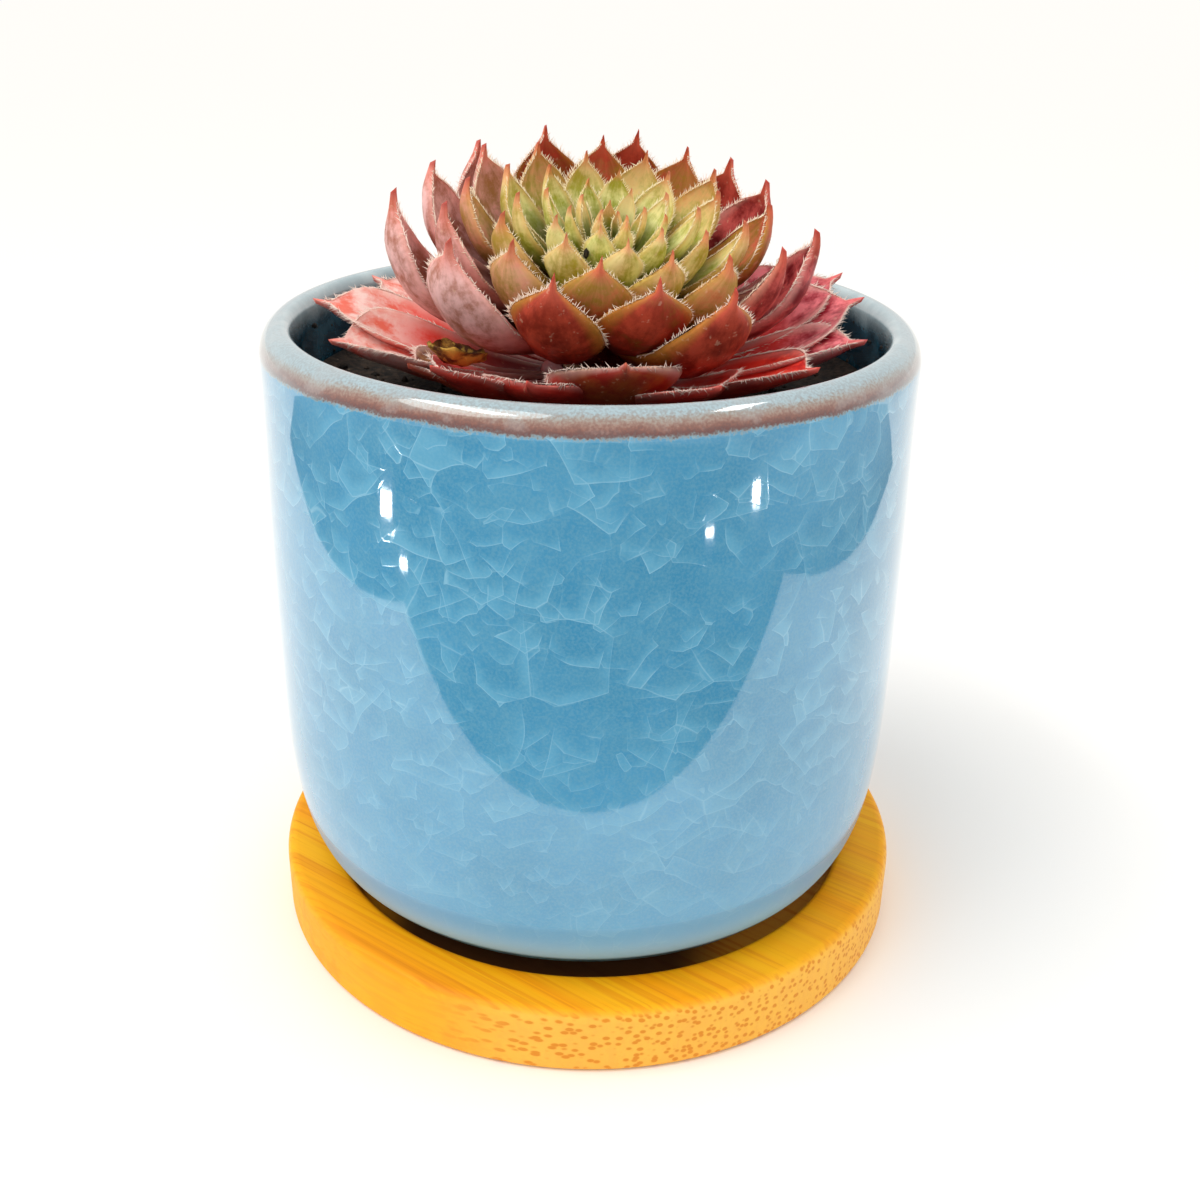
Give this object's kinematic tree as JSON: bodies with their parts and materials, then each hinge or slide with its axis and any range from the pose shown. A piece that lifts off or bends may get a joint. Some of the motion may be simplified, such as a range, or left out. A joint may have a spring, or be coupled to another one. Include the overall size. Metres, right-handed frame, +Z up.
{
  "type": "hens and chicks in a pot",
  "caption": "Hens and chicks rosette with red-tipped, fringed leaves, planted in a blue crackle-glazed pot that stands on a round bamboo saucer.",
  "frame": {"origin": "middle of the saucer's underside, on the surface it stands on", "axes": "+Z up; the picture is taken from -Y, and +X is to the right in it"},
  "size_m": [0.0848, 0.0848, 0.1001],
  "materials": {
    "bamboo": "oiled satin bamboo with fine straight grain",
    "blue_glaze": "glossy blue crackle glaze, grey-brown at the lip",
    "soil": "dark, rough bark and peat mix",
    "stem_bark": "dry, matt bark",
    "leaf_green_red": "waxy leaf, yellow-green in the heart to maroon outside",
    "leaf_pink": "waxy leaf, salmon pink to deep red",
    "dry_leaf": "dry and crisp, yellow-brown"
  },
  "bodies": {
    "root": {"bamboo_saucer": "bamboo", "ceramic_pot": "blue_glaze", "potting_soil": "soil", "stem": "stem_bark", "rosette_head": "leaf_green_red", "splayed_leaves": "leaf_pink", "withered_leaf": "dry_leaf"}
  },
  "joints": []
}
